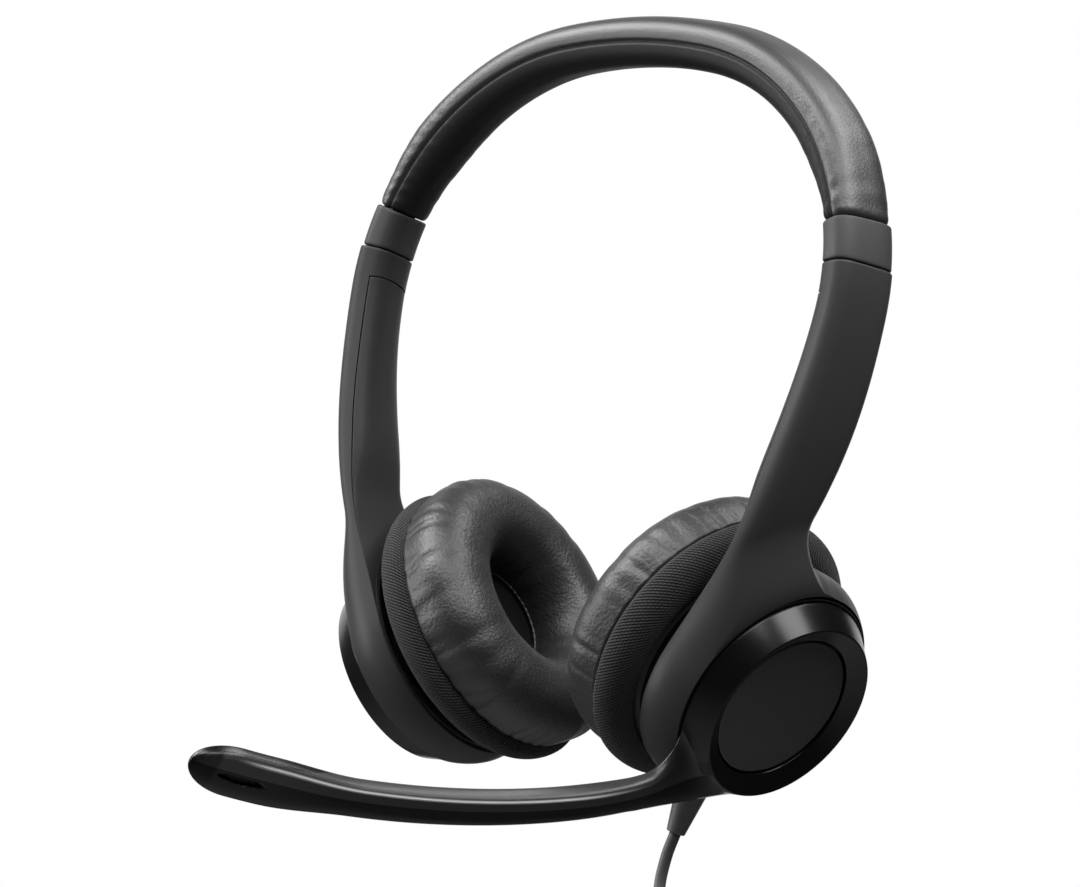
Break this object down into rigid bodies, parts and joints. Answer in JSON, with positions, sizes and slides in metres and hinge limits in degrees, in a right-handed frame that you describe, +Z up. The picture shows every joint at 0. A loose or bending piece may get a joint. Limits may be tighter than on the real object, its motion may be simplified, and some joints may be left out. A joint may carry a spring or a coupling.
{
  "type": "office headset",
  "caption": "Wired on-ear office headset: padded headband with sliding arms, swivelling round ear cushions, a turning microphone boom and a USB cord put up in a hank.",
  "frame": {"origin": "the middle of the head seat, on the inside of the padded band's crown", "axes": "+Z up, the wearer faces -Y, +X towards the wearer's left, which is the boom's side"},
  "size_m": [0.1594, 0.1739, 0.355],
  "materials": {
    "spring_steel": "brushed spring steel",
    "carrier": "moulded",
    "foam": "open foam",
    "leatherette": "fine-grained leatherette, satin",
    "collar_plastic": "fine matte texture",
    "arm_plastic": "satin",
    "cover_plastic": "satin",
    "small_steel": "zinc plated",
    "inner_plastic": "moulded",
    "acetal": "natural acetal",
    "speaker_frame": "moulded",
    "magnet": "plated",
    "film": "thin film",
    "cloth": "acoustic cloth",
    "knit": "ribbed knit",
    "disc_gloss": "polished, dark grey",
    "ring_gloss": "polished, black",
    "boom_plastic": "satin",
    "boom_under": "satin, darker",
    "microphone": "capsule",
    "mic_mesh": "acoustic mesh",
    "cord_rubber": "matte sheath",
    "plug_plastic": "moulded",
    "plug_steel": "nickel plated",
    "tongue_plastic": "moulded"
  },
  "bodies": {
    "headband": {"headband_spring": "spring_steel", "headband_carrier": "carrier", "headband_foam": "foam", "headband_wadding": "foam", "headband_wrap_outer": "leatherette", "headband_wrap_inner": "leatherette", "collar_left": "collar_plastic", "collar_right": "collar_plastic"},
    "slider_left": {"sleeve_left": "arm_plastic", "arm_shell_left": "arm_plastic", "arm_cover_left": "cover_plastic", "detent_left": "small_steel", "pivot_base_left": "inner_plastic", "pivot_screws_left": "small_steel", "cap_left": "disc_gloss", "boom_hub": "inner_plastic", "boom_washer": "small_steel", "strain_relief": "cord_rubber", "cord_drop": "cord_rubber", "cord_hank": "cord_rubber", "cord_tie": "cord_rubber", "usb_body": "plug_plastic", "usb_shell": "plug_steel", "usb_tongue": "tongue_plastic"},
    "slider_right": {"sleeve_right": "arm_plastic", "arm_shell_right": "arm_plastic", "arm_cover_right": "cover_plastic", "detent_right": "small_steel", "pivot_base_right": "inner_plastic", "pivot_screws_right": "small_steel", "cap_right": "disc_gloss", "ring_right": "ring_gloss"},
    "gimbal_left": {"pivot_cross_left": "acetal"},
    "gimbal_right": {"pivot_cross_right": "acetal"},
    "earcup_left": {"housing_left": "inner_plastic", "baffle_left": "inner_plastic", "driver_frame_left": "speaker_frame", "driver_magnet_left": "magnet", "diaphragm_left": "film", "ear_cloth_left": "cloth", "knit_left": "knit", "cushion_left": "leatherette"},
    "earcup_right": {"housing_right": "inner_plastic", "baffle_right": "inner_plastic", "driver_frame_right": "speaker_frame", "driver_magnet_right": "magnet", "diaphragm_right": "film", "ear_cloth_right": "cloth", "knit_right": "knit", "cushion_right": "leatherette"},
    "boom": {"boom_ring": "ring_gloss", "boom_upper": "boom_plastic", "boom_lower": "boom_under", "mic_capsule": "microphone", "mic_mesh": "mic_mesh"}
  },
  "joints": [
    {"name": "arm_slide_left", "type": "slide", "parent": "headband", "child": "slider_left", "axis": [-0.0993, 0, -0.9951], "range_m": [0, 0.028]},
    {"name": "cup_tilt_left", "type": "hinge", "parent": "slider_left", "child": "gimbal_left", "pos_m": [0.0473, 0.0215, -0.14422], "axis": [0, 1, 0], "range_deg": [-4, 4]},
    {"name": "cup_turn_left", "type": "hinge", "parent": "gimbal_left", "child": "earcup_left", "pos_m": [0.0473, 0.0215, -0.14422], "axis": [0.4955, 0, 0.8686], "range_deg": [-4, 4]},
    {"name": "arm_slide_right", "type": "slide", "parent": "headband", "child": "slider_right", "axis": [0.0993, 0, -0.9951], "range_m": [0, 0.028]},
    {"name": "cup_tilt_right", "type": "hinge", "parent": "slider_right", "child": "gimbal_right", "pos_m": [-0.0473, 0.0215, -0.14422], "axis": [0, 1, 0], "range_deg": [-4, 4]},
    {"name": "cup_turn_right", "type": "hinge", "parent": "gimbal_right", "child": "earcup_right", "pos_m": [-0.0473, 0.0215, -0.14422], "axis": [-0.4955, 0, 0.8686], "range_deg": [-4, 4]},
    {"name": "boom_turn", "type": "hinge", "parent": "slider_left", "child": "boom", "pos_m": [0.05547, 0.0215, -0.14888], "axis": [-0.8686, 0, 0.4955], "range_deg": [-8, 105]}
  ]
}
